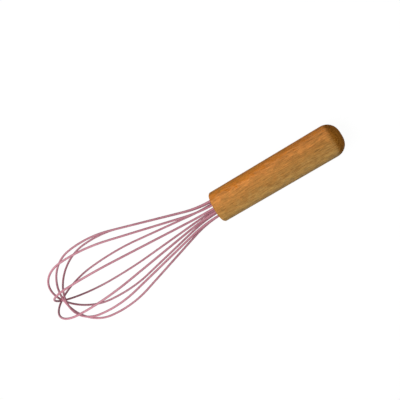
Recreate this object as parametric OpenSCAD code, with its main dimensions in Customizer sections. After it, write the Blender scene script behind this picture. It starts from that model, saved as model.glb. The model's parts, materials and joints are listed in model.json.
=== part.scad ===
// Balloon whisk with a turned beech handle and five coated spring-wire loops.
// It lies as it comes to rest on a table: on the back edge of the handle and on
// the two lowest wires. +X runs towards the tip of the balloon and +Z is up.
// Lengths are in millimetres and angles in degrees.

/* [Handle] */
// Length of the turned handle
handle_length = 121; // [90:1:160]
// Diameter of the handle
handle_diameter = 28.8; // [25:0.1:36]
// Radius of the rounded edge round the wires
front_edge_radius = 2.4; // [1:0.1:4]
// Radius of the domed back end
back_edge_radius = 11.2; // [3:0.1:12]
// Diameter of the blind hole that takes the legs of the wires
socket_diameter = 19.4; // [19.2:0.1:21]
// Depth of the blind hole
socket_depth = 34; // [20:1:60]
// Depth of the cone that the drill leaves at the bottom of the hole
drill_point = 4; // [0:0.5:6]

/* [Wires] */
// Diameter of a wire with its coating
coated_diameter = 2.0; // [1.6:0.05:2.2]
// Diameter of the spring-steel wire itself
wire_diameter = 1.4; // [1:0.05:1.5]
// Radius of the circle on which the legs enter the handle
leg_circle_radius = 7.0; // [6.6:0.1:7.4]
// Depth that the coating reaches into the handle
coated_leg_depth = 12; // [6:1:20]
// Depth that the bare wire reaches into the handle
leg_depth = 28; // [21:1:50]

/* [Balloon] */
// Distance from the handle to the crown of the innermost loop
balloon_length = 172.6; // [160:0.1:200]
// Distance between the crowns of neighbouring loops
crown_step = 2.4; // [2.3:0.05:3]
// Radius of the bend over the crown
crown_radius = 37.0; // [30:0.5:42]
// Half the angle that the crown bend turns through
crown_angle = 84.3; // [75:0.1:86]
// Slope of the straight stretch against the axis
slope = 17.1; // [14:0.1:19]
// Radius of the bend where a wire leaves the handle
flare_radius = 102; // [60:1:120]
// Distance inside the front face at which that bend starts
flare_start = 1.2; // [0.5:0.1:2]

/* [Bending by hand] */
// Error of each loop's angle round the axis, from the innermost loop out
turn_error = [0.2, -0.5, 0, -0.9, 1.1]; // [-2:0.1:2]
// Lean of each loop within its own plane
lean_in_plane = [1.1, -0.4, 0.9, -1.9, 0.2]; // [-2:0.1:2]
// Lean of each loop out of its own plane
lean_out_of_plane = [0.2, 0.2, 0.1, 0.3, 1.4]; // [-1.5:0.1:1.5]
// Spread of each loop's left leg within the loop's plane
left_spread = [-0.2, -0.1, 0.3, 0.05, -0.35]; // [-0.4:0.05:0.4]
// Spread of each loop's right leg within the loop's plane
right_spread = [-0.25, -0.35, 0.4, 0.05, 0.05]; // [-0.4:0.05:0.4]
// Sway of each loop's left leg out of the loop's plane
left_sway = [0.4, 0, 0.3, 0.2, 0.65]; // [-0.7:0.05:0.7]
// Sway of each loop's right leg out of the loop's plane
right_sway = [-0.1, 0.05, -0.4, -0.3, 0.15]; // [-0.7:0.05:0.7]

/* [Resin] */
// Distance of the resin's surface below the front face
resin_recess = 1.6; // [1.3:0.1:3]

/* [Hidden] */
$fn = 96;

LOOPS = 5;
loop_pitch = 180 / LOOPS;
// The two lowest wires belong to the two outermost loops and stand evenly
// either side of straight down.
outermost_angle = loop_pitch / 2;
handle_radius = handle_diameter / 2;
coated_radius = coated_diameter / 2;
wire_radius = wire_diameter / 2;
// How much thicker than the wire the balls between its stretches are
JOINT_BULGE = 0.01;
// How far the cutter of the blind hole stands out of the front face
CUTTER_OVERSHOOT = 1;
// Steps in which the whisk settles on the table
SETTLING_STEPS = 40;

// ---- the shape of one loop, in its own plane ---------------------------------
// Half a loop is a crown bend, a long belly bend, a straight stretch and a flare
// bend that ends in the leg, each tangent to the next. From the crown bend on, each
// half is swung a little about the end of that bend.
function crown_of(k) = balloon_length + k * crown_step;
function run_of(k) = crown_of(k) - crown_radius * (1 - cos(crown_angle))
    - flare_radius * sin(slope) + flare_start;
rise = leg_circle_radius - crown_radius * sin(crown_angle)
    + flare_radius * (1 - cos(slope));
function belly_radius(k) =
    (run_of(k) * sin(slope) + rise * cos(slope)) / (1 - sin(crown_angle - slope));
function straight_length(k) =
    (run_of(k) - belly_radius(k) * (cos(crown_angle) + sin(slope))) / cos(slope);
function crown_centre(k) = [crown_of(k) - crown_radius, 0];
function belly_centre(k) = crown_centre(k)
    + (crown_radius - belly_radius(k)) * [cos(crown_angle), sin(crown_angle)];
function belly_start(k) = crown_centre(k) + crown_radius * [cos(crown_angle), sin(crown_angle)];
function straight_start(k) = belly_centre(k) + belly_radius(k) * [-sin(slope), cos(slope)];
leg_start = [-flare_start, leg_circle_radius];
flare_centre = leg_start + [0, flare_radius];
straight_end = flare_centre + flare_radius * [sin(slope), -cos(slope)];

// ---- turning a direction ------------------------------------------------------
function turned_x(v, a) = [v.x, v.y * cos(a) - v.z * sin(a), v.y * sin(a) + v.z * cos(a)];
function turned_y(v, a) = [v.x * cos(a) + v.z * sin(a), v.y, v.z * cos(a) - v.x * sin(a)];
function turned_z(v, a) = [v.x * cos(a) - v.y * sin(a), v.x * sin(a) + v.y * cos(a), v.z];

// Angle of a loop round the axis, from straight up towards +Y
function loop_angle(k) = outermost_angle - (LOOPS - 1 - k) * loop_pitch + turn_error[k];
function spread(k, side) = side < 0 ? left_spread[k] : right_spread[k];
function sway(k, side) = side < 0 ? left_sway[k] : right_sway[k];
function into_loop(k, v) =
    turned_z(turned_y(turned_x(v, loop_angle(k) - 90), -lean_out_of_plane[k]),
             -lean_in_plane[k]);
function into_half(k, side, v) = turned_z(turned_y(v, -sway(k, side)), -spread(k, side));

// ---- how far the whisk reaches along a direction --------------------------------
function flat(v) = [v.x, v.y];
function bend_reach(centre, radius, v) = coated_radius + centre * flat(v)
    + radius * norm(flat(v));
function belly_reach(k, v, w) = belly_start(k) * flat(v - w)
    + bend_reach(belly_centre(k), belly_radius(k), w);
function half_reach(k, side, v) = atan2(v.y, v.x) < crown_angle
    ? bend_reach(crown_centre(k), crown_radius, v)
    : belly_reach(k, v, into_half(k, side, v));
function side_reach(k, side, v) =
    let (w = into_loop(k, v)) half_reach(k, side, [w.x, side * w.y, w.z]);
function handle_reach(v) = back_edge_radius - v.x * (handle_length - back_edge_radius)
    + norm([v.y, v.z]) * (handle_radius - back_edge_radius);

// ---- how it lies --------------------------------------------------------------
function to_whisk(v, pose) = turned_x(turned_y(v, pose.x), -pose.y);
function lie(pose, steps) = steps == 0 ? pose :
    let (
        down = to_whisk([0, 0, -1], pose),
        right = side_reach(LOOPS - 1, -1, down),
        left = side_reach(LOOPS - 2, -1, down),
        back = handle_reach(down),
        lift = atan((max(left, right) - back) / (handle_length + belly_centre(0).x)),
        roll = atan((left - right) / (2 * crown_radius * sin(loop_pitch / 2)))
    )
    lie([pose.x + lift, pose.y + roll], steps - 1);
// Lift of the tip and turn about the axis at which all three points touch
rest_pose = lie([0, 0], SETTLING_STEPS);
function reach(v) = let (w = to_whisk(v, rest_pose))
    max(handle_reach(w),
        max([for (k = [0:LOOPS - 1], side = [-1, 1]) side_reach(k, side, w)]));
middle = [
    (reach([1, 0, 0]) - reach([-1, 0, 0])) / 2,
    (reach([0, 1, 0]) - reach([0, -1, 0])) / 2,
    -reach([0, 0, -1]),
];

// ---- placing ------------------------------------------------------------------
module at_rest() {
    translate(-middle)
    rotate([rest_pose.y, -rest_pose.x, 0])
    children();
}

module in_loop_plane(k) {
    rotate([90 - loop_angle(k), 0, 0])
    rotate([0, lean_out_of_plane[k], 0])
    rotate([0, 0, lean_in_plane[k]])
    children();
}

// One half of a loop, drawn on the side of +Y and swung about its end of the crown
module in_half(k, side) {
    scale([1, side, 1])
    translate(belly_start(k))
    rotate([0, sway(k, side), 0])
    rotate([0, 0, spread(k, side)])
    translate(-belly_start(k))
    children();
}

// ---- one loop -----------------------------------------------------------------
// Every stretch is a true torus or cylinder. A ball a hair thicker than the wire
// sits where two stretches meet, so that they fuse into one solid.
module ball(at, radius) {
    translate(at) sphere(radius + JOINT_BULGE);
}

module bend(centre, path_radius, from, to, radius) {
    translate(centre)
    rotate([0, 0, from])
    rotate_extrude(angle = to - from)
    translate([path_radius, 0])
    circle(radius);
}

module rod(start, direction, length, radius) {
    translate(start)
    rotate([0, 0, direction])
    rotate([0, 90, 0])
    cylinder(r = radius, h = length);
}

module leg(depth, radius) {
    rod(leg_start, 180, depth - flare_start, radius);
}

module half_loop(k, depth, radius) {
    bend(belly_centre(k), belly_radius(k), crown_angle, 90 + slope, radius);
    rod(straight_start(k), 180 + slope, straight_length(k), radius);
    bend(flare_centre, flare_radius, 270, 270 + slope, radius);
    leg(depth, radius);
    ball(belly_start(k), radius);
    ball(straight_start(k), radius);
    ball(straight_end, radius);
    ball(leg_start, radius);
}

module loop(k, depth, radius) {
    bend(crown_centre(k), crown_radius, -crown_angle, crown_angle, radius);
    for (side = [-1, 1]) in_half(k, side) half_loop(k, depth, radius);
}

module wire(k) {
    color("silver") at_rest() in_loop_plane(k) loop(k, leg_depth, wire_radius);
}

module coating(k) {
    color("pink") at_rest() in_loop_plane(k)
    difference() {
        loop(k, coated_leg_depth, coated_radius);
        loop(k, leg_depth, wire_radius);
    }
}

// ---- handle -------------------------------------------------------------------
// Half the outline of the handle, with the axis along Y and the front face at 0
module handle_outline() {
    square([handle_radius - front_edge_radius, handle_length - back_edge_radius]);
    translate([0, front_edge_radius])
    square([handle_radius, handle_length - front_edge_radius - back_edge_radius]);
    translate([handle_radius - front_edge_radius, front_edge_radius])
    circle(front_edge_radius);
    square([handle_radius - back_edge_radius, handle_length]);
    translate([handle_radius - back_edge_radius, handle_length - back_edge_radius])
    intersection() {
        circle(back_edge_radius);
        square(back_edge_radius);
    }
}

// Blind hole from a distance below the front face
module socket(from) {
    translate([0, 0, from]) cylinder(d = socket_diameter, h = socket_depth - from);
    translate([0, 0, socket_depth]) cylinder(d1 = socket_diameter, d2 = 0, h = drill_point);
}

module along_handle() {
    rotate([0, -90, 0]) children();
}

module handle() {
    color("peru") at_rest() along_handle()
    difference() {
        rotate_extrude() handle_outline();
        socket(-CUTTER_OVERSHOOT);
    }
}

module handle_resin() {
    color("khaki") at_rest()
    difference() {
        along_handle() socket(resin_recess);
        for (k = [0:LOOPS - 1], side = [-1, 1])
            in_loop_plane(k) in_half(k, side) {
                leg(coated_leg_depth, coated_radius);
                leg(leg_depth, wire_radius);
            }
    }
}

handle();
handle_resin();
wire(0);  // wire_1
wire(1);  // wire_2
wire(2);  // wire_3
wire(3);  // wire_4
wire(4);  // wire_5
coating(0);  // coating_1
coating(1);  // coating_2
coating(2);  // coating_3
coating(3);  // coating_4
coating(4);  // coating_5
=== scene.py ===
"""A balloon whisk: a turned beech handle and five spring-wire loops in a pink coat.

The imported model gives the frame, in metres, with +X towards the tip of the
balloon and +Z up. The whisk lies as it comes to rest on a table. Each
sub-assembly is shaped in the whisk's own axes, where +X is the axis and the
front face of the handle stands at 0, and is then laid in its place at rest.
"""

from __future__ import annotations

import json
import logging
import math
from abc import ABC, abstractmethod
from collections.abc import Callable, Mapping, Sequence
from dataclasses import dataclass, field
from enum import Enum
from typing import ClassVar, Union

import bmesh
import bpy
from mathutils import Matrix, Vector

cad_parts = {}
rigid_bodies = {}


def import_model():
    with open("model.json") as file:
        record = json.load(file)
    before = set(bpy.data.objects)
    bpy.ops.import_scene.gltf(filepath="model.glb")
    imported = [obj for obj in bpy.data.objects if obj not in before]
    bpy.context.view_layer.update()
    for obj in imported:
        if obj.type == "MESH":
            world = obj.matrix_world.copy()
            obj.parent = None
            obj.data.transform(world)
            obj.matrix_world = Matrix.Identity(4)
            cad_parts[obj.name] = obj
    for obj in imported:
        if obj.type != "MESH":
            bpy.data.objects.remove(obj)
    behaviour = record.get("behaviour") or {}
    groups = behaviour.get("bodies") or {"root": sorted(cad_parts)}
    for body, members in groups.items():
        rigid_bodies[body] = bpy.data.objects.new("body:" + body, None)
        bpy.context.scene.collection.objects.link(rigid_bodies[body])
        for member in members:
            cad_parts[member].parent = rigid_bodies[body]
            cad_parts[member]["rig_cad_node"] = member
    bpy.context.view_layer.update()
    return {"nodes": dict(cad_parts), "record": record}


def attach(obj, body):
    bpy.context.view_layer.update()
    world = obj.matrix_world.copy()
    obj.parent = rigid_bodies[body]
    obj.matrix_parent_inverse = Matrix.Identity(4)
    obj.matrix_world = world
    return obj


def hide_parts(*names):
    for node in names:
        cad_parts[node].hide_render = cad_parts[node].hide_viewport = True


MM = 0.001
MERGE = 0.002 * MM  # points closer than this are one point
LOG = logging.getLogger("balloon_whisk")
WHITE = (1.0, 1.0, 1.0)
ROLL = math.radians(7.82868)  # the turn about its axis in which the whisk comes to rest

Span = tuple[float, float]
Triple = tuple[float, float, float]
RGB = Triple
Socket = bpy.types.NodeSocket
Material = bpy.types.Material
Piece = bpy.types.Object
Input = Union["Value", Socket, float, Sequence[float]]
Inputs = Mapping[Union[int, str], Input]
Settings = Mapping[str, object]


def srgb(red: float, green: float, blue: float) -> RGB:
    """Turn a colour as a paint chart gives it into the linear light of a shader.

    Args:
        red: Red from 0 to 255.
        green: Green from 0 to 255.
        blue: Blue from 0 to 255.

    Returns:
        The three linear shares, each from 0 to 1.
    """
    linear = []
    for part in (red / 255, green / 255, blue / 255):
        linear.append(part / 12.92 if part <= 0.04045 else ((part + 0.055) / 1.055) ** 2.4)
    return tuple(linear)


# ---- shader maths ----


class Value:
    """A number that runs through a shader and takes part in Python arithmetic."""

    def __init__(self, graph: Graph, socket: Socket) -> None:
        """Wrap one output socket.

        Args:
            graph: The graph that the socket belongs to.
            socket: The output that carries the number.
        """
        self.graph = graph
        self.socket = socket

    def _with(self, operation: str, first: Input, second: Input) -> Value:
        """Work on two numbers with one Math node.

        Args:
            operation: What the node does.
            first: The first number.
            second: The second number.

        Returns:
            The result.
        """
        return self.graph.value(
            "ShaderNodeMath", {"operation": operation}, {0: first, 1: second}
        )

    def __add__(self, other: Input) -> Value:
        """Return self + other."""
        return self._with("ADD", self, other)

    def __radd__(self, other: Input) -> Value:
        """Return other + self."""
        return self._with("ADD", other, self)

    def __sub__(self, other: Input) -> Value:
        """Return self - other."""
        return self._with("SUBTRACT", self, other)

    def __rsub__(self, other: Input) -> Value:
        """Return other - self."""
        return self._with("SUBTRACT", other, self)

    def __mul__(self, other: Input) -> Value:
        """Return self * other."""
        return self._with("MULTIPLY", self, other)

    def __rmul__(self, other: Input) -> Value:
        """Return other * self."""
        return self._with("MULTIPLY", other, self)

    def __truediv__(self, other: Input) -> Value:
        """Return self / other."""
        return self._with("DIVIDE", self, other)

    def __rtruediv__(self, other: Input) -> Value:
        """Return other / self."""
        return self._with("DIVIDE", other, self)

    def __pow__(self, other: Input) -> Value:
        """Return self to the power of other."""
        return self._with("POWER", self, other)

    def __rpow__(self, other: Input) -> Value:
        """Return other to the power of self."""
        return self._with("POWER", other, self)

    def fraction(self) -> Value:
        """Return what is left after the whole part is taken off."""
        return self._with("FRACT", self, 0.0)

    def largest(self, other: Input) -> Value:
        """Return the larger of self and other."""
        return self._with("MAXIMUM", self, other)

    def angle_from(self, other: Input) -> Value:
        """Return the angle, in radians, whose tangent is self over other."""
        return self._with("ARCTAN2", self, other)

    def rise(self, low: float, high: float) -> Value:
        """Return a smooth step from 0 at low to 1 at high, or the other way round.

        Args:
            low: The number at which the step is 0.
            high: The number at which the step is 1.

        Returns:
            The step's height.
        """
        return self.graph.value(
            "ShaderNodeMapRange",
            {"interpolation_type": "SMOOTHSTEP", "clamp": True},
            {"Value": self, "From Min": low, "From Max": high},
            "Result",
        )

    def between(self, first: float, second: float) -> Value:
        """Return first where self is 0, second where it is 1, and evenly between."""
        return first + self * (second - first)


class Graph:
    """The node tree of one material or of the world, and the ways to fill it."""

    def __init__(self, tree: bpy.types.NodeTree) -> None:
        """Empty a node tree.

        Args:
            tree: The tree to fill.
        """
        self.tree = tree
        tree.nodes.clear()

    def node(
        self,
        kind: str,
        settings: Settings | None = None,
        inputs: Inputs | None = None,
    ) -> bpy.types.Node:
        """Add a node, set it up and then feed its sockets.

        Args:
            kind: The node's Blender type.
            settings: The node's own settings. "stops" are a ramp's stops, each
                with its place and colour.
            inputs: What feeds each socket, by number, identifier or name.

        Returns:
            The new node.
        """
        node = self.tree.nodes.new(kind)
        for name, setting in (settings or {}).items():
            if name == "stops":
                self._set_stops(node.color_ramp.elements, setting)
            else:
                setattr(node, name, setting)
        for name, source in (inputs or {}).items():
            socket = self._socket(node.inputs, name)
            if isinstance(source, Value):
                self.tree.links.new(source.socket, socket)
            elif isinstance(source, Socket):
                self.tree.links.new(source, socket)
            elif isinstance(source, (int, float)):
                socket.default_value = source
            else:
                parts = tuple(source)
                whole = len(socket.default_value)
                socket.default_value = parts + (1.0,) * (whole - len(parts))
        return node

    @staticmethod
    def _set_stops(
        elements: bpy.types.ColorRampElements, stops: Sequence[tuple[float, RGB]]
    ) -> None:
        """Give a ramp its stops.

        Args:
            elements: The ramp's elements.
            stops: Each stop's place and colour, in order.
        """
        while len(elements) < len(stops):
            elements.new(1.0)
        for element, (place, colour) in zip(elements, stops):
            element.position = place
            element.color = (*colour, 1.0)

    @staticmethod
    def _socket(sockets: Sequence[Socket], name: Union[int, str]) -> Socket:
        """Find a socket by its number, or else by its identifier or its name.

        Args:
            sockets: The sockets to look through.
            name: The number, the identifier or the name.

        Returns:
            The socket.
        """
        if isinstance(name, int):
            return sockets[name]
        found = [s for s in sockets if s.identifier == name]
        return found[0] if found else sockets[name]

    def value(
        self,
        kind: str,
        settings: Settings | None = None,
        inputs: Inputs | None = None,
        output: Union[int, str] = 0,
    ) -> Value:
        """Add a node and take one number from it.

        Args:
            kind: The node's Blender type.
            settings: The node's own settings.
            inputs: What feeds each socket.
            output: The output that carries the number.

        Returns:
            The number.
        """
        node = self.node(kind, settings, inputs)
        return Value(self, self._socket(node.outputs, output))

    def mix(self, share: Input, first: Input, second: Input) -> Socket:
        """Mix two colours.

        Args:
            share: The second colour's share, from 0 to 1.
            first: The colour where the share is 0.
            second: The colour where the share is 1.

        Returns:
            The mixed colour.
        """
        node = self.node(
            "ShaderNodeMix",
            {"data_type": "RGBA", "clamp_factor": True},
            {"Factor_Float": share, "A_Color": first, "B_Color": second},
        )
        return self._socket(node.outputs, "Result_Color")

    def shade(self, colour: Input, share: Input) -> Socket:
        """Make a colour lighter or darker.

        Args:
            colour: The colour.
            share: What the colour is multiplied by.

        Returns:
            The shaded colour.
        """
        node = self.node(
            "ShaderNodeVectorMath",
            {"operation": "SCALE"},
            {"Vector": colour, "Scale": share},
        )
        return self._socket(node.outputs, "Vector")

    def stretch(self, place: Input, scale: Triple) -> Socket:
        """Stretch a place along each axis, so that a pattern gets its proportions.

        Args:
            place: The place.
            scale: What each part of the place is multiplied by.

        Returns:
            The stretched place.
        """
        node = self.node(
            "ShaderNodeVectorMath", {"operation": "MULTIPLY"}, {0: place, 1: scale}
        )
        return self._socket(node.outputs, "Vector")

    def vector(self, x: Input, y: Input, z: Input) -> Socket:
        """Join three numbers into one place.

        Args:
            x: The first number.
            y: The second number.
            z: The third number.

        Returns:
            The place.
        """
        node = self.node("ShaderNodeCombineXYZ", None, {"X": x, "Y": y, "Z": z})
        return node.outputs["Vector"]

    def parts(self, place: Input) -> tuple[Value, Value, Value]:
        """Take a place apart into its three numbers.

        Args:
            place: The place.

        Returns:
            The three numbers.
        """
        node = self.node("ShaderNodeSeparateXYZ", None, {"Vector": place})
        return tuple(Value(self, node.outputs[axis]) for axis in "XYZ")

    def noise(
        self, place: Input, scale: float, detail: float = 2.0, roughness: float = 0.5
    ) -> Value:
        """Lay smooth noise over a place.

        Args:
            place: The place.
            scale: How many bumps the noise has in one unit of length.
            detail: How many finer layers it has.
            roughness: How strong the finer layers are.

        Returns:
            The noise, from 0 to 1 and mostly near 0.5.
        """
        return self.value(
            "ShaderNodeTexNoise",
            {"noise_dimensions": "3D"},
            {"Vector": place, "Scale": scale, "Detail": detail, "Roughness": roughness},
            "Fac",
        )

    def bump(self, height: Input, depth: float) -> Value:
        """Turn a height into a bumpy surface.

        Args:
            height: The height, mostly from 0 to 1.
            depth: How far, in metres, a height of 1 stands above 0.

        Returns:
            The surface's normal.
        """
        return self.value(
            "ShaderNodeBump",
            None,
            {"Strength": 1.0, "Distance": depth, "Height": height},
            "Normal",
        )


def new_material(name: str) -> tuple[Material, Graph]:
    """Make an empty material.

    Args:
        name: The material's name.

    Returns:
        The material and its graph.
    """
    material = bpy.data.materials.new(name)
    material.use_nodes = True
    return material, Graph(material.node_tree)


# ---- finishes ----


@dataclass(frozen=True)
class WhiskPlace:
    """How the whisk lies: the turn and the shift from its own axes to the row's."""

    matrix: Matrix

    @staticmethod
    def from_record(record: Mapping[str, object], roll: float) -> WhiskPlace:
        """Find the place from the mount on the end of the handle.

        Args:
            record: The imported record.
            roll: The turn about the axis, in radians.

        Returns:
            The place.
        """
        end = next(m for m in record["mounts"] if m["name"] == "handle_end")
        away = Vector(end["axis"]).normalized()
        lift = math.atan2(-away.z, -away.x)
        turn = Matrix.Rotation(-lift, 4, "Y") @ Matrix.Rotation(roll, 4, "X")
        front = Vector(end["pos_m"]) - away * Handle.length
        return WhiskPlace(Matrix.Translation(front) @ turn)

    def read_in_mm(self, graph: Graph) -> Socket:
        """Read a place on the whisk's own axes.

        Args:
            graph: The graph to work in.

        Returns:
            The place, in millimetres.
        """
        coordinates = graph.node("ShaderNodeTexCoord")
        back = self.matrix.inverted()
        mapping = graph.node(
            "ShaderNodeMapping",
            {"vector_type": "POINT"},
            {
                "Vector": coordinates.outputs["Object"],
                "Location": tuple(back.translation / MM),
                "Rotation": tuple(back.to_euler("XYZ")),
                "Scale": (1 / MM,) * 3,
            },
        )
        return mapping.outputs["Vector"]


class Finish(ABC):
    """A finish for whole pieces, with its sizes in millimetres."""

    name: ClassVar[str]

    def make(self, place: WhiskPlace) -> Material:
        """Make the finish's material.

        Args:
            place: How the whisk lies.

        Returns:
            The material.
        """
        material, graph = new_material(self.name)
        inputs = self.mix(graph, place.read_in_mm(graph))
        shader = graph.node("ShaderNodeBsdfPrincipled", None, inputs)
        graph.node("ShaderNodeOutputMaterial", None, {"Surface": shader.outputs["BSDF"]})
        return material

    @abstractmethod
    def mix(self, graph: Graph, here: Socket) -> Inputs:
        """Work out what feeds the shader.

        Args:
            graph: The graph to work in.
            here: The place on the whisk's own axes, in millimetres.

        Returns:
            What feeds each of the shader's sockets.
        """


@dataclass(frozen=True)
class Grain:
    """A place in the wood, in millimetres, told by the way the wood grew.

    Along runs with the grain, from 0 at the front face of the handle. Across runs
    over the board, around goes round the pith, and radius leads away from it.
    """

    along: Value
    across: Value
    around: Value
    radius: Value


@dataclass(frozen=True)
class Spots:
    """A pattern drawn out along the grain: the size of its spots, in millimetres.

    Where the pattern is noise, edges are the levels at which a spot starts and at
    which it is full.
    """

    along: float
    around: float
    outward: float
    detail: float = 1.0
    roughness: float = 0.5
    edges: Span = (0.3, 0.7)

    def count(self, graph: Graph, grain: Grain) -> Socket:
        """Count a place in spots.

        Args:
            graph: The graph to work in.
            grain: The place in the wood.

        Returns:
            The place, in spots along, round and outwards.
        """
        return graph.vector(
            grain.along / self.along,
            grain.around / self.around,
            grain.radius / self.outward,
        )

    def noise(self, graph: Graph, grain: Grain) -> Value:
        """Lay noise with spots of this size over the wood."""
        return graph.noise(self.count(graph, grain), 1.0, self.detail, self.roughness)


@dataclass(frozen=True)
class Beech(Finish):
    """Oiled steamed beech with its grain along the handle.

    The board's colour runs from orange heart on one side to olive sapwood on the
    other, and its last, darker stop is painted shade along that flank. Growth rings
    run round a pith that lies outside the handle. Rays stand across the rings and
    show as short dark flecks. The back end is dark round its rim, partly as end grain
    and partly as painted shade where the rounded end turns from the lamp, and paler
    towards its centre as painted light. An end starts and is full at the two places
    along the axis that its span gives.
    """

    name = "oiled_beech"
    board: tuple[tuple[float, RGB], ...] = (
        (0.00, srgb(197, 130, 52)),
        (0.13, srgb(206, 124, 46)),
        (0.20, srgb(210, 136, 68)),
        (0.36, srgb(184, 124, 62)),
        (0.50, srgb(177, 123, 61)),
        (0.62, srgb(166, 119, 61)),
        (0.74, srgb(172, 128, 70)),
        (0.86, srgb(187, 144, 80)),
        # The last stop, darker than the one before, is painted shade along this flank of
        # the handle.
        (1.00, srgb(165, 131, 81)),
    )
    board_width: float = 28.8
    board_slant: float = 0.02
    deep: RGB = srgb(146, 88, 34)
    fleck: RGB = srgb(104, 58, 20)
    # Dark end grain colour for the back rim, partly painted shade where the rounded end
    # turns from the lamp; the paler colour after it is painted light towards the centre of
    # the back end.
    end_grain_and_painted_shade: RGB = srgb(144, 87, 14)
    end_painted_light: RGB = srgb(191, 120, 33)

    pith: tuple[float, float] = (9.0, -62.0)
    ring_width: float = 2.7
    ring_wander: float = 7.0
    wander_stretch: Triple = (0.012, 0.05, 0.05)
    late_wood_start: Span = (0.45, 0.95)
    late_wood_stop: Span = (1.0, 0.96)

    figure: Spots = Spots(14.0, 4.0, 6.0, detail=3.0, roughness=0.6, edges=(0.5, 0.85))
    mottle: Spots = Spots(2.6, 1.1, 2.0, detail=2.0, roughness=0.6, edges=(0.2, 0.8))
    tint: Spots = Spots(3.6, 2.4, 3.0)
    pores: Spots = Spots(8.0, 0.5, 0.8, detail=3.0, roughness=0.85)
    open_pores: Span = (0.42, 0.6)
    rays: Spots = Spots(8.0, 0.85, 9.0, edges=(0.46, 0.14))
    ray_chance: Span = (0.3, 0.8)

    front_end: Span = (-2.2, -0.4)
    # Where along the axis the painted end shade starts, and where the paler painted light
    # grows towards the centre of the back end.
    back_grain_and_shade_span: Span = (-110.4, -114.2)
    back_painted_light_span: Span = (-114.8, -118.8)

    figure_drift: float = 8.0
    tint_drift: float = 11.0
    figure_share: float = 0.12
    late_wood_share: float = 0.15
    fleck_share: float = 0.4
    front_share: float = 0.35
    closed_share: float = 0.7
    mottle_shades: Span = (1.09, 1.03)
    pore_shades: Span = (1.3, 0.64)
    end_ring_shade: float = 0.22

    roughness: float = 0.58
    fleck_roughness: float = 0.1
    end_roughness: float = 0.12
    gloss: float = 0.04
    relief: float = 0.03
    relief_shares: Triple = (0.5, -0.35, 0.3)

    def _read(self, graph: Graph, here: Socket) -> Grain:
        """Tell a place by the way the wood grew.

        Args:
            graph: The graph to work in.
            here: The place on the whisk's own axes, in millimetres.

        Returns:
            The place in the wood.
        """
        along, across, up = graph.parts(here)
        from_pith = across - self.pith[0]
        above_pith = up - self.pith[1]
        radius = (from_pith * from_pith + above_pith * above_pith) ** 0.5
        around = from_pith.angle_from(above_pith) * abs(self.pith[1])
        return Grain(along, across, around, radius)

    def _late_wood(self, graph: Graph, here: Socket, grain: Grain) -> Value:
        """Find the dark late part of each growth ring, which ends sharply.

        Args:
            graph: The graph to work in.
            here: The place on the whisk's own axes, in millimetres.
            grain: The same place in the wood.

        Returns:
            The share of late wood.
        """
        wander = graph.noise(graph.stretch(here, self.wander_stretch), 1.0, detail=3.0)
        ring = ((grain.radius + wander * self.ring_wander) / self.ring_width).fraction()
        return ring.rise(*self.late_wood_start) * ring.rise(*self.late_wood_stop)

    def _flecks(self, graph: Graph, grain: Grain) -> Value:
        """Find the rays, of which only some show.

        Args:
            graph: The graph to work in.
            grain: The place in the wood.

        Returns:
            How strongly a ray shows.
        """
        cells = graph.node(
            "ShaderNodeTexVoronoi",
            {"feature": "F1", "voronoi_dimensions": "3D"},
            {"Vector": self.rays.count(graph, grain), "Scale": 1.0},
        )
        ray = Value(graph, cells.outputs["Distance"]).rise(*self.rays.edges)
        chance = graph.parts(cells.outputs["Color"])[0].rise(*self.ray_chance)
        return ray * chance

    def mix(self, graph: Graph, here: Socket) -> Inputs:
        """Tint the board, then lay its rings, rays, pores and end grain over it.

        Args:
            graph: The graph to work in.
            here: The place on the whisk's own axes, in millimetres.

        Returns:
            What feeds each of the shader's sockets.
        """
        grain = self._read(graph, here)
        late_wood = self._late_wood(graph, here, grain)
        flecks = self._flecks(graph, grain)
        figure = self.figure.noise(graph, grain)
        mottle = self.mottle.noise(graph, grain)
        tint = self.tint.noise(graph, grain)
        pores = self.pores.noise(graph, grain)

        side = grain.across + (figure - 0.5) * self.figure_drift
        side = side + (tint - 0.5) * self.tint_drift - grain.along * self.board_slant
        tone = graph.node(
            "ShaderNodeValToRGB",
            {"stops": self.board},
            {"Fac": side / self.board_width + 0.5},
        ).outputs["Color"]
        figure_part = figure.rise(*self.figure.edges) * self.figure_share
        tone = graph.mix(figure_part + late_wood * self.late_wood_share, tone, self.deep)
        mottle_part = mottle.rise(*self.mottle.edges)
        tone = graph.shade(tone, mottle_part.between(*self.mottle_shades))
        tone = graph.mix(flecks * self.fleck_share, tone, self.fleck)

        # Back end: end grain darkened partly as painted shade at the rim, then lightened
        # towards its centre as painted light.
        back_grain_and_shade = grain.along.rise(*self.back_grain_and_shade_span)
        ends = back_grain_and_shade.largest(grain.along.rise(*self.front_end) * self.front_share)
        end_share_by_pores = pores.rise(*self.open_pores).between(self.closed_share, 1.0)
        painted_light_share = grain.along.rise(*self.back_painted_light_span)
        end_shade_and_light_tone = graph.mix(painted_light_share, self.end_grain_and_painted_shade, self.end_painted_light)
        tone = graph.mix(ends * end_share_by_pores, tone, end_shade_and_light_tone)
        pore_part = pores.rise(*self.pores.edges)
        tone = graph.shade(tone, pore_part.between(*self.pore_shades))
        tone = graph.shade(tone, 1.0 - ends * late_wood * self.end_ring_shade)

        pore_relief, fleck_relief, mottle_relief = self.relief_shares
        height = pores * pore_relief + flecks * fleck_relief + mottle * mottle_relief
        rough = self.roughness + flecks * self.fleck_roughness + ends * self.end_roughness
        return {
            "Base Color": tone,
            "Roughness": rough,
            "Normal": graph.bump(height, self.relief * MM),
            "Specular IOR Level": self.gloss,
        }


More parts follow.
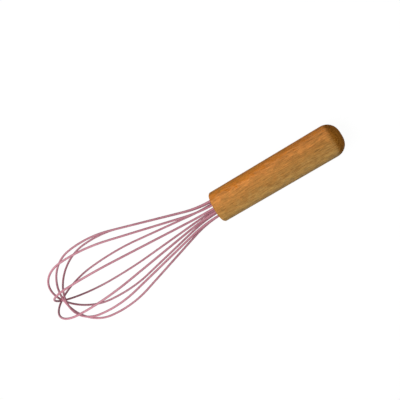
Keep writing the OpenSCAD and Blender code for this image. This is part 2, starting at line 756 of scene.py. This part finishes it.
@dataclass(frozen=True)
class PinkCoat(Finish):
    """A dusty pink nylon coat, satin, with a fine orange peel."""

    name = "pink_coat"
    pink: RGB = srgb(180, 122, 135)
    rose: RGB = srgb(158, 96, 110)
    cloud_size: float = 9.0
    cloud_edges: Span = (0.35, 0.7)
    cloud_share: float = 0.5
    speck_size: float = 1.1
    speck_edges: Span = (0.52, 0.75)
    speck_shades: Span = (1.04, 0.9)
    peel_size: float = 0.45
    peel_depth: float = 0.012
    roughness: float = 0.42
    speck_roughness: float = 0.12
    gloss: float = 0.25

    def mix(self, graph: Graph, here: Socket) -> Inputs:
        """Cloud the pink with rose and fleck it.

        Args:
            graph: The graph to work in.
            here: The place on the whisk's own axes, in millimetres.

        Returns:
            What feeds each of the shader's sockets.
        """
        peel = graph.noise(here, 1 / self.peel_size, detail=1.0)
        cloud = graph.noise(here, 1 / self.cloud_size, detail=3.0, roughness=0.6)
        speck = graph.noise(here, 1 / self.speck_size, roughness=0.7)
        rose_share = cloud.rise(*self.cloud_edges) * self.cloud_share
        tone = graph.mix(rose_share, self.pink, self.rose)
        speck_part = speck.rise(*self.speck_edges)
        return {
            "Base Color": graph.shade(tone, speck_part.between(*self.speck_shades)),
            "Roughness": self.roughness + speck * self.speck_roughness,
            "Normal": graph.bump(peel, self.peel_depth * MM),
            "Specular IOR Level": self.gloss,
        }


@dataclass(frozen=True)
class CastResin(Finish):
    """Pale amber casting resin that set round the legs."""

    name = "cast_resin"
    amber: RGB = srgb(196, 160, 104)
    cloudy: RGB = srgb(222, 200, 158)
    haze_size: float = 4.0
    haze_edges: Span = (0.35, 0.7)
    haze_roughness: float = 0.1
    bubble_size: float = 1.6
    bubble_edges: Span = (0.2, 0.1)
    bubble_shade: float = 0.25
    bubble_relief: float = 0.4
    relief: float = 0.05
    roughness: float = 0.22

    def mix(self, graph: Graph, here: Socket) -> Inputs:
        """Cloud the amber and set bubbles in it.

        Args:
            graph: The graph to work in.
            here: The place on the whisk's own axes, in millimetres.

        Returns:
            What feeds each of the shader's sockets.
        """
        haze = graph.noise(here, 1 / self.haze_size, detail=3.0, roughness=0.6)
        bubbles = graph.value(
            "ShaderNodeTexVoronoi",
            {"feature": "F1"},
            {"Vector": here, "Scale": 1 / self.bubble_size},
            "Distance",
        ).rise(*self.bubble_edges)
        tone = graph.mix(haze.rise(*self.haze_edges), self.amber, self.cloudy)
        height = haze - bubbles * self.bubble_relief
        return {
            "Base Color": graph.shade(tone, 1.0 - bubbles * self.bubble_shade),
            "Roughness": self.roughness + haze * self.haze_roughness,
            "Normal": graph.bump(height, self.relief * MM),
        }


@dataclass(frozen=True)
class SpringSteel(Finish):
    """Bright drawn spring steel, with faint marks from the die."""

    name = "spring_steel_wire"
    bright: RGB = srgb(196, 198, 202)
    dull: RGB = srgb(150, 152, 158)
    stain_size: float = 6.0
    stain_edges: Span = (0.35, 0.7)
    mark_stretch: Triple = (0.08, 6.0, 6.0)
    mark_roughness: float = 0.2
    mark_depth: float = 0.004
    roughness: float = 0.28

    def mix(self, graph: Graph, here: Socket) -> Inputs:
        """Stain the steel and draw marks along it.

        Args:
            graph: The graph to work in.
            here: The place on the whisk's own axes, in millimetres.

        Returns:
            What feeds each of the shader's sockets.
        """
        marks = graph.noise(graph.stretch(here, self.mark_stretch), 1.0)
        stain = graph.noise(here, 1 / self.stain_size)
        stained = stain.rise(*self.stain_edges)
        return {
            "Base Color": graph.mix(stained, self.bright, self.dull),
            "Metallic": 1.0,
            "Roughness": self.roughness + marks * self.mark_roughness,
            "Normal": graph.bump(marks, self.mark_depth * MM),
        }


# ---- the bench ----


class Bench:
    """Edit-mode steps for one piece at a time."""

    @staticmethod
    def clear() -> None:
        """Deselect every object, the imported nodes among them."""
        bpy.ops.object.select_all(action="DESELECT")

    @staticmethod
    def edit(name: str) -> Piece:
        """Put a new piece's place in its mesh, name it and open it in edit mode.

        Args:
            name: The piece's name.

        Returns:
            The piece.
        """
        bpy.ops.object.transform_apply(location=True, rotation=True, scale=True)
        piece = bpy.context.active_object
        piece.name = name
        piece.data.name = name
        bpy.ops.object.mode_set(mode="EDIT")
        return piece

    @staticmethod
    def pick(
        piece: Piece,
        faces: Callable[[bmesh.types.BMFace], bool] | None = None,
        edges: Callable[[bmesh.types.BMEdge], bool] | None = None,
    ) -> None:
        """Select the faces or the edges that pass a test.

        Args:
            piece: The piece that is open in edit mode.
            faces: The test on a face.
            edges: The test on an edge.
        """
        bpy.ops.mesh.select_all(action="DESELECT")
        mode = "FACE" if faces else "EDGE"
        bpy.ops.mesh.select_mode(type=mode)
        mesh = bmesh.from_edit_mesh(piece.data)
        test, parts = (faces, mesh.faces) if faces else (edges, mesh.edges)
        for part in parts:
            if test(part):
                part.select_set(True)
        bmesh.update_edit_mesh(piece.data)

    @staticmethod
    def pull(by: Vector, steps: int = 1) -> None:
        """Extrude what is selected along a straight line.

        Args:
            by: How far, and which way.
            steps: The number of equal stretches.
        """
        for _ in range(steps):
            bpy.ops.mesh.extrude_region_move(
                TRANSFORM_OT_translate={"value": tuple(by / steps)}
            )

    @staticmethod
    def swing(
        centre: Vector, angle: float, steps: int, axis: Vector = Vector((0.0, 0.0, 1.0))
    ) -> None:
        """Spin what is selected about an axis.

        Args:
            centre: A point on the axis.
            angle: How far, in radians, anticlockwise seen from the axis's tip.
            steps: The number of equal stretches.
            axis: The direction of the axis.
        """
        bpy.ops.mesh.spin(
            steps=steps, angle=-angle, center=tuple(centre), axis=tuple(axis)
        )

    @staticmethod
    def close(piece: Piece, matrix: Matrix) -> None:
        """Leave edit mode and lay the piece in its place, with the place in its mesh.

        Args:
            piece: The piece that is open in edit mode.
            matrix: The turn and shift to its place.
        """
        bpy.ops.mesh.select_all(action="SELECT")
        bpy.ops.mesh.remove_doubles(threshold=MERGE)
        bpy.ops.mesh.normals_make_consistent(inside=False)
        bpy.ops.object.mode_set(mode="OBJECT")
        piece.matrix_world = matrix @ piece.matrix_world
        bpy.ops.object.transform_apply(location=True, rotation=True, scale=True)

    @staticmethod
    def smooth(piece: Piece, angle: float) -> None:
        """Shade a piece smooth, apart from its sharp edges.

        Args:
            piece: The piece.
            angle: The angle, in radians, above which an edge stays sharp.
        """
        Bench.clear()
        piece.select_set(True)
        bpy.context.view_layer.objects.active = piece
        bpy.ops.object.shade_smooth_by_angle(angle=angle)

    @staticmethod
    def dress(piece: Piece, material: Material, slot: str) -> None:
        """Give a piece its finish and let it ride on the whisk.

        Args:
            piece: The piece.
            material: Its finish.
            slot: The record's slot that the finish stands for; not used.
        """
        piece.data.materials.clear()
        piece.data.materials.append(material)
        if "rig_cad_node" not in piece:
            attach(piece, "root")


# ---- sub-assemblies ----


@dataclass
class Handle:
    """The turned handle, with a blind hole for the legs of the wires."""

    length: float = 121 * MM
    radius: float = 14.4 * MM
    front_edge: float = 2.4 * MM
    back_edge: float = 11.2 * MM
    hole_radius: float = 9.7 * MM
    hole_depth: float = 34 * MM
    drill_point: float = 4 * MM
    mouth_edge: float = 0.35 * MM
    sides: int = 128
    front_steps: int = 10
    back_steps: int = 28
    mouth_steps: int = 3
    round_profile: float = 0.5
    sharp_angle: float = math.radians(40)
    tolerance: float = 0.01 * MM

    def _on_ring(self, x: float, radius: float) -> Callable[[bmesh.types.BMEdge], bool]:
        """Make a test for the edges of one ring.

        Args:
            x: The ring's place along the axis.
            radius: The ring's radius.

        Returns:
            The test.
        """

        def test(edge: bmesh.types.BMEdge) -> bool:
            """Tell whether both ends of an edge lie on the ring.

            Args:
                edge: The edge.

            Returns:
                Whether they do.
            """
            ends = [vertex.co for vertex in edge.verts]
            misses = [abs(end.x - x) for end in ends]
            misses += [abs(math.hypot(end.y, end.z) - radius) for end in ends]
            return max(misses) < self.tolerance

        return test

    def build(self, matrix: Matrix) -> Piece:
        """Turn the handle, drill it and round its edges.

        Args:
            matrix: The whisk's place.

        Returns:
            The handle.
        """
        Bench.clear()
        bpy.ops.mesh.primitive_cylinder_add(
            vertices=self.sides,
            radius=self.radius,
            depth=self.length,
            end_fill_type="NGON",
            location=(-self.length / 2, 0.0, 0.0),
            rotation=(0.0, math.pi / 2, 0.0),
        )
        piece = Bench.edit("turned_handle")

        Bench.pick(piece, faces=lambda face: face.calc_center_median().x > -self.tolerance)
        bpy.ops.mesh.inset(thickness=self.radius - self.hole_radius)
        Bench.pull(Vector((-self.hole_depth, 0.0, 0.0)))
        Bench.pull(Vector((-self.drill_point, 0.0, 0.0)))
        bpy.ops.mesh.merge(type="CENTER")

        for x, radius, edge, steps in (
            (0.0, self.radius, self.front_edge, self.front_steps),
            (-self.length, self.radius, self.back_edge, self.back_steps),
            (0.0, self.hole_radius, self.mouth_edge, self.mouth_steps),
        ):
            Bench.pick(piece, edges=self._on_ring(x, radius))
            bpy.ops.mesh.bevel(offset=edge, segments=steps, profile=self.round_profile)

        Bench.close(piece, matrix)
        Bench.smooth(piece, self.sharp_angle)
        return piece

    def dress(self, piece: Piece, finish: Material) -> None:
        """Oil the handle and let it stand for its solid."""
        Bench.dress(piece, finish, "beech")
        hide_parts("handle")


@dataclass(frozen=True)
class LoopShape:
    """The centre line of one loop, in its own plane, with the axis along X.

    Half a loop is a crown bend, a long belly bend, a straight stretch and a flare
    bend that ends in the leg, each tangent to the next.
    """

    order: int
    innermost_crown: float = 172.6 * MM
    crown_step: float = 2.4 * MM
    crown_radius: float = 37 * MM
    crown_angle: float = math.radians(84.3)
    slope: float = math.radians(17.1)
    flare_radius: float = 102 * MM
    flare_start: float = 1.2 * MM
    leg_radius: float = 7 * MM

    @property
    def crown(self) -> float:
        """Distance from the handle to the crown."""
        return self.innermost_crown + self.order * self.crown_step

    @property
    def belly_radius(self) -> float:
        """Work out the radius of the belly bend from the bends on both sides of it.

        Returns:
            The radius.
        """
        run = (
            self.crown
            - self.crown_radius * (1 - math.cos(self.crown_angle))
            - self.flare_radius * math.sin(self.slope)
            + self.flare_start
        )
        rise = (
            self.leg_radius
            - self.crown_radius * math.sin(self.crown_angle)
            + self.flare_radius * (1 - math.cos(self.slope))
        )
        return (run * math.sin(self.slope) + rise * math.cos(self.slope)) / (
            1 - math.sin(self.crown_angle - self.slope)
        )

    @property
    def crown_centre(self) -> Vector:
        """Centre of the crown bend."""
        return Vector((self.crown - self.crown_radius, 0.0, 0.0))

    @property
    def crown_end(self) -> Vector:
        """Direction from the crown bend's centre to its end on the side of +Y."""
        return Vector((math.cos(self.crown_angle), math.sin(self.crown_angle), 0.0))

    @property
    def belly_start(self) -> Vector:
        """Where the crown bend meets the belly bend."""
        return self.crown_centre + self.crown_radius * self.crown_end

    @property
    def belly_centre(self) -> Vector:
        """Centre of the belly bend on the side of +Y."""
        return self.belly_start - self.belly_radius * self.crown_end

    @property
    def straight_start(self) -> Vector:
        """Where the belly bend ends and the straight stretch starts."""
        towards = Vector((-math.sin(self.slope), math.cos(self.slope), 0.0))
        return self.belly_centre + self.belly_radius * towards

    @property
    def leg_start(self) -> Vector:
        """Where the flare bend ends, just inside the handle."""
        return Vector((-self.flare_start, self.leg_radius, 0.0))

    @property
    def flare_centre(self) -> Vector:
        """Centre of the flare bend on the side of +Y."""
        return self.leg_start + Vector((0.0, self.flare_radius, 0.0))

    @property
    def straight_end(self) -> Vector:
        """Where the straight stretch meets the flare bend."""
        towards = Vector((math.sin(self.slope), -math.cos(self.slope), 0.0))
        return self.flare_centre + self.flare_radius * towards


class Side(Enum):
    """The two halves of a loop, by the sign of Y in the loop's own plane."""

    LEFT = -1
    RIGHT = 1


@dataclass(frozen=True)
class Bending:
    """How one loop stands: its angle round the axis and the errors of hand bending.

    All of them are in degrees.
    """

    angle: float
    lean_in_plane: float
    lean_out_of_plane: float
    spread: Mapping[Side, float]
    sway: Mapping[Side, float]

    @property
    def matrix(self) -> Matrix:
        """Turn the loop from its own plane to the whisk's axes.

        Returns:
            The turn.
        """
        return (
            Matrix.Rotation(math.radians(90 - self.angle), 4, "X")
            @ Matrix.Rotation(math.radians(self.lean_out_of_plane), 4, "Y")
            @ Matrix.Rotation(math.radians(self.lean_in_plane), 4, "Z")
        )

    def half(self, side: Side, pivot: Vector) -> Matrix:
        """Return how one half swings about its end of the crown bend.

        Args:
            side: The half.
            pivot: Where the crown bend ends on the side of +Y.

        Returns:
            The move from a half drawn on the side of +Y to its place in the plane.
        """
        return (
            Matrix.Diagonal((1.0, float(side.value), 1.0, 1.0))
            @ Matrix.Translation(pivot)
            @ Matrix.Rotation(math.radians(self.sway[side]), 4, "Y")
            @ Matrix.Rotation(math.radians(self.spread[side]), 4, "Z")
            @ Matrix.Translation(-pivot)
        )


@dataclass
class CoatedLoop:
    """The coat of one loop: a tube round the steel, from leg to leg."""

    number: int
    bending: Bending
    shape: LoopShape
    radius: float = 1.0 * MM
    wall: float = 0.3 * MM
    leg_depth: float = 12 * MM
    sides: int = 24
    longest_step: float = 1.6 * MM
    widest_step: float = math.radians(3)
    straight_step: float = 6.4 * MM
    leg_steps: int = 2
    sharp_angle: float = math.radians(50)

    @property
    def name(self) -> str:
        """The piece's name."""
        return f"coated_loop_{self.number}"

    def _steps(self, radius: float, angle: float) -> int:
        """Return how many stretches a bend is made in."""
        lengths = radius * angle / self.longest_step, angle / self.widest_step
        return math.ceil(max(lengths))

    def build(self, matrix: Matrix) -> Piece:
        """Draw the tube along the loop.

        Args:
            matrix: The whisk's place.

        Returns:
            The tube.
        """
        shape = self.shape
        angle = shape.crown_angle
        Bench.clear()
        bpy.ops.mesh.primitive_circle_add(
            vertices=self.sides,
            radius=self.radius,
            fill_type="NOTHING",
            location=tuple(shape.belly_start * Vector((1.0, -1.0, 1.0))),
            rotation=(0.0, math.pi / 2, math.pi / 2 - angle),
        )
        piece = Bench.edit(self.name)
        bpy.ops.mesh.select_all(action="SELECT")
        turns = self._steps(shape.crown_radius, 2 * angle)
        Bench.swing(shape.crown_centre, 2 * angle, turns)
        for side in Side:
            self._draw_half(piece, side)
        Bench.close(piece, matrix @ self.bending.matrix)

        wall = piece.modifiers.new("wall", "SOLIDIFY")
        wall.thickness = self.wall
        wall.offset = -1.0
        bpy.ops.object.modifier_apply(modifier=wall.name)
        Bench.smooth(piece, self.sharp_angle)
        return piece

    def _draw_half(self, piece: Piece, side: Side) -> None:
        """Draw the tube on from one end of the crown bend to the end of the leg.

        Args:
            piece: The tube, open in edit mode.
            side: The half.
        """
        shape = self.shape
        place = self.bending.half(side, shape.belly_start)
        turn = place.to_3x3()
        axis = turn @ Vector((0.0, 0.0, 1.0))
        belly_turn = math.pi / 2 + shape.slope - shape.crown_angle
        straight = shape.straight_end - shape.straight_start
        leg = Vector((shape.flare_start - self.leg_depth, 0.0, 0.0))
        Bench.pick(
            piece,
            edges=lambda edge: edge.is_boundary and edge.verts[0].co.y * side.value > 0,
        )
        Bench.swing(
            place @ shape.belly_centre,
            side.value * belly_turn,
            self._steps(shape.belly_radius, belly_turn),
            axis,
        )
        Bench.pull(turn @ straight, math.ceil(straight.length / self.straight_step))
        Bench.swing(
            place @ shape.flare_centre,
            -side.value * shape.slope,
            self._steps(shape.flare_radius, shape.slope),
            axis,
        )
        Bench.pull(turn @ leg, self.leg_steps)

    def dress(self, piece: Piece, finish: Material) -> None:
        """Coat the loop and let it stand for its solid."""
        Bench.dress(piece, finish, "pink_coating")
        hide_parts(f"coating_{self.number}")


@dataclass
class Balloon:
    """The five coated loops, from the innermost out, with their angles in degrees."""

    pitch: float = 36.0
    outermost_angle: float = 18.0
    turn_error: tuple[float, ...] = (0.2, -0.5, 0.0, -0.9, 1.1)
    lean_in_plane: tuple[float, ...] = (1.1, -0.4, 0.9, -1.9, 0.2)
    lean_out_of_plane: tuple[float, ...] = (0.2, 0.2, 0.1, 0.3, 1.4)
    left_spread: tuple[float, ...] = (-0.2, -0.1, 0.3, 0.05, -0.35)
    right_spread: tuple[float, ...] = (-0.25, -0.35, 0.4, 0.05, 0.05)
    left_sway: tuple[float, ...] = (0.4, 0.0, 0.3, 0.2, 0.65)
    right_sway: tuple[float, ...] = (-0.1, 0.05, -0.4, -0.3, 0.15)
    loops: list[CoatedLoop] = field(init=False)

    def __post_init__(self) -> None:
        """Set out the loops."""
        count = len(self.turn_error)
        self.loops = [
            CoatedLoop(order + 1, self._bending(order, count), LoopShape(order))
            for order in range(count)
        ]

    def _bending(self, order: int, count: int) -> Bending:
        """Return how one loop stands.

        Args:
            order: The loop's place, from the innermost out.
            count: The number of loops.

        Returns:
            How it stands.
        """
        even = self.outermost_angle - (count - 1 - order) * self.pitch
        return Bending(
            angle=even + self.turn_error[order],
            lean_in_plane=self.lean_in_plane[order],
            lean_out_of_plane=self.lean_out_of_plane[order],
            spread={
                Side.LEFT: self.left_spread[order],
                Side.RIGHT: self.right_spread[order],
            },
            sway={Side.LEFT: self.left_sway[order], Side.RIGHT: self.right_sway[order]},
        )

    def build(self, matrix: Matrix, finish: Material) -> list[Piece]:
        """Draw and coat every loop.

        Args:
            matrix: The whisk's place.
            finish: The coat's finish.

        Returns:
            The coats.
        """
        coats = []
        for loop in self.loops:
            coat = loop.build(matrix)
            loop.dress(coat, finish)
            coats.append(coat)
        return coats


@dataclass
class ResinCollars:
    """The small fillets that the resin draws up round each leg as it sets."""

    balloon: Balloon
    recess: float = 1.6 * MM
    profile: tuple[tuple[float, float], ...] = (
        (0.98, 0.75),
        (1.10, 0.40),
        (1.32, 0.16),
        (1.70, 0.03),
        (1.95, -0.05),
        (0.98, -0.05),
    )
    sides: int = 28
    sharp_angle: float = math.radians(50)

    def build(self, matrix: Matrix) -> Piece:
        """Build the collars round all the legs as one piece.

        Args:
            matrix: The whisk's place.

        Returns:
            The collars.
        """
        first = self._collar()
        parts = [first]
        for loop in self.balloon.loops:
            leg = Matrix.Translation((-self.recess, loop.shape.leg_radius, 0.0))
            for side in Side:
                copy = first.copy()
                copy.data = first.data.copy()
                bpy.context.collection.objects.link(copy)
                half = loop.bending.half(side, loop.shape.belly_start)
                copy.matrix_world = matrix @ loop.bending.matrix @ half @ leg
                parts.append(copy)
        Bench.clear()
        bpy.data.objects.remove(parts.pop(0))
        for part in parts:
            part.select_set(True)
        bpy.context.view_layer.objects.active = parts[0]
        bpy.ops.object.transform_apply(location=True, rotation=True, scale=True)
        bpy.ops.object.join()
        piece = bpy.context.active_object
        piece.name = piece.data.name = "resin_collars"
        Bench.smooth(piece, self.sharp_angle)
        return piece

    def _collar(self) -> Piece:
        """Shape one collar round the axis, with the resin's surface at 0.

        Returns:
            The collar.
        """
        Bench.clear()
        (radius, height), *rest = self.profile
        bpy.ops.mesh.primitive_circle_add(
            vertices=self.sides,
            radius=radius * MM,
            fill_type="NOTHING",
            location=(height * MM, 0.0, 0.0),
            rotation=(0.0, math.pi / 2, 0.0),
        )
        piece = Bench.edit("collar")
        bpy.ops.mesh.select_all(action="SELECT")
        for wider, lower in (*rest, self.profile[0]):
            Bench.pull(Vector(((lower - height) * MM, 0.0, 0.0)))
            share = wider / radius
            bpy.ops.transform.resize(
                value=(1.0, share, share), center_override=(lower * MM, 0.0, 0.0)
            )
            radius, height = wider, lower
        Bench.close(piece, Matrix.Identity(4))
        return piece

    def dress(self, piece: Piece, finish: Material) -> None:
        """Give the collars the resin's finish."""
        Bench.dress(piece, finish, "resin")


@dataclass
class InnerParts:
    """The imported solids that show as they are: the resin and the steel wires."""

    nodes: Mapping[str, Piece]

    def dress(self, resin: Material, steel: Material) -> list[Piece]:
        """Give each solid its finish.

        Args:
            resin: The resin's finish.
            steel: The steel's finish.

        Returns:
            The solids.
        """
        filling = self.nodes["handle_resin"]
        Bench.dress(filling, resin, "resin")
        wires = [
            node for name, node in sorted(self.nodes.items()) if name.startswith("wire_")
        ]
        for wire in wires:
            Bench.dress(wire, steel, "spring_steel")
        return [filling, *wires]


# ---- studio ----


class Seen(Enum):
    """The kinds of ray that see the plain white background."""

    CAMERA = "Is Camera Ray"
    GLOSSY = "Is Glossy Ray"
    TRANSMISSION = "Is Transmission Ray"


def seen_directly(graph: Graph) -> Value:
    """Return 1 for the rays that see the background and 0 for those that light.

    Args:
        graph: The graph to work in.

    Returns:
        The mask.
    """
    path = graph.node("ShaderNodeLightPath")
    kinds = [Value(graph, path.outputs[kind.value]) for kind in Seen]
    return kinds[0].largest(kinds[1]).largest(kinds[2])


@dataclass(frozen=True)
class Softbox:
    """One square softbox that points at the whisk. Lengths are in metres."""

    name: str
    place: Triple
    side: float
    watts: float
    aim: Triple = (0.0, 0.0, 0.02)

    def hang(self) -> None:
        """Hang the softbox and switch it on."""
        lamp = bpy.data.lights.new(self.name, "AREA")
        lamp.shape = "SQUARE"
        lamp.size = self.side
        lamp.energy = self.watts
        box = bpy.data.objects.new(self.name, lamp)
        bpy.context.scene.collection.objects.link(box)
        box.location = self.place
        towards = Vector(self.aim) - Vector(self.place)
        box.rotation_euler = towards.to_track_quat("-Z", "Y").to_euler()


@dataclass
class Studio:
    """A plain pale table in a white room, softly lit.

    Where it is seen, the table is lifted towards white by a share of its own glow.
    The room is white to the eye and lights the whisk with the strength of room_light.
    """

    table_size: float = 12.0
    table_shade: float = 0.4
    lift: float = 0.88
    glow: float = 1.1
    room_light: float = 0.2
    softboxes: tuple[Softbox, ...] = (
        Softbox("key_softbox", (0.2, -0.12, 0.6), 0.4, 4.35),
    )

    def build(self) -> None:
        """Lay the table, paint the room and hang the softboxes."""
        self._lay_table()
        self._paint_room()
        for softbox in self.softboxes:
            softbox.hang()
            LOG.info("%s: %.2f W", softbox.name, softbox.watts)

    def _lay_table(self) -> None:
        """Lay the table top at height 0."""
        Bench.clear()
        bpy.ops.mesh.primitive_plane_add(size=self.table_size)
        table = bpy.context.active_object
        table.name = "table_top"
        material, graph = new_material("white_table")
        paper = graph.node(
            "ShaderNodeBsdfDiffuse", None, {"Color": (self.table_shade,) * 3}
        )
        glow = graph.node(
            "ShaderNodeEmission", None, {"Color": WHITE, "Strength": self.glow}
        )
        both = graph.node(
            "ShaderNodeMixShader",
            None,
            {
                0: seen_directly(graph) * self.lift,
                1: paper.outputs["BSDF"],
                2: glow.outputs["Emission"],
            },
        )
        graph.node("ShaderNodeOutputMaterial", None, {"Surface": both.outputs["Shader"]})
        table.data.materials.append(material)
        LOG.info("table_top: laid")

    def _paint_room(self) -> None:
        """Paint the room white to the eye, and let it light the whisk evenly."""
        world = bpy.data.worlds.new("white_room")
        world.use_nodes = True
        graph = Graph(world.node_tree)
        seen = seen_directly(graph)
        strength = seen + (1.0 - seen) * self.room_light
        room = graph.node(
            "ShaderNodeBackground", None, {"Color": WHITE, "Strength": strength}
        )
        graph.node(
            "ShaderNodeOutputWorld", None, {"Surface": room.outputs["Background"]}
        )
        bpy.context.scene.world = world
        LOG.info("white_room: painted")


@dataclass(frozen=True)
class Viewpoint:
    """Where the camera stands, which way it looks and how it is rolled.

    Places are in metres, and the lens and the sensor in millimetres.
    """

    place: Triple = (-0.149826, -0.104002, 0.399333)
    forward: Triple = (0.314888, 0.221660, -0.922883)
    right: Triple = (-0.825649, 0.543557, -0.151159)
    lens: float = 41.554
    sensor: float = 36.0
    nearest: float = 0.01
    farthest: float = 100.0

    def build(self) -> None:
        """Set up the camera."""
        data = bpy.data.cameras.new("camera")
        data.lens = self.lens
        data.sensor_width = self.sensor
        data.clip_start = self.nearest
        data.clip_end = self.farthest
        camera = bpy.data.objects.new("camera", data)
        bpy.context.scene.collection.objects.link(camera)
        back = -Vector(self.forward).normalized()
        right = Vector(self.right).normalized()
        above = back.cross(right).normalized()
        turn = Matrix((right, above, back)).transposed().to_4x4()
        camera.matrix_world = Matrix.Translation(self.place) @ turn
        bpy.context.scene.camera = camera
        LOG.info("camera: %.1f mm lens", self.lens)


def main() -> None:
    """Build the whisk and the studio."""
    logging.basicConfig(level=logging.INFO, format="%(name)s: %(message)s")
    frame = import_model()
    place = WhiskPlace.from_record(frame["record"], ROLL)

    beech = Beech().make(place)
    pink = PinkCoat().make(place)
    resin = CastResin().make(place)
    steel = SpringSteel().make(place)

    handle = Handle()
    turned = handle.build(place.matrix)
    handle.dress(turned, beech)

    balloon = Balloon()
    coats = balloon.build(place.matrix, pink)

    resin_collars = ResinCollars(balloon)
    collars = resin_collars.build(place.matrix)
    resin_collars.dress(collars, resin)

    inner = InnerParts(frame["nodes"]).dress(resin, steel)
    for piece in (turned, *coats, collars, *inner):
        LOG.info("%s: %d faces", piece.name, len(piece.data.polygons))

    Viewpoint().build()
    Studio().build()
    bpy.context.scene.view_settings.view_transform = "Standard"


if __name__ == "__main__":
    main()
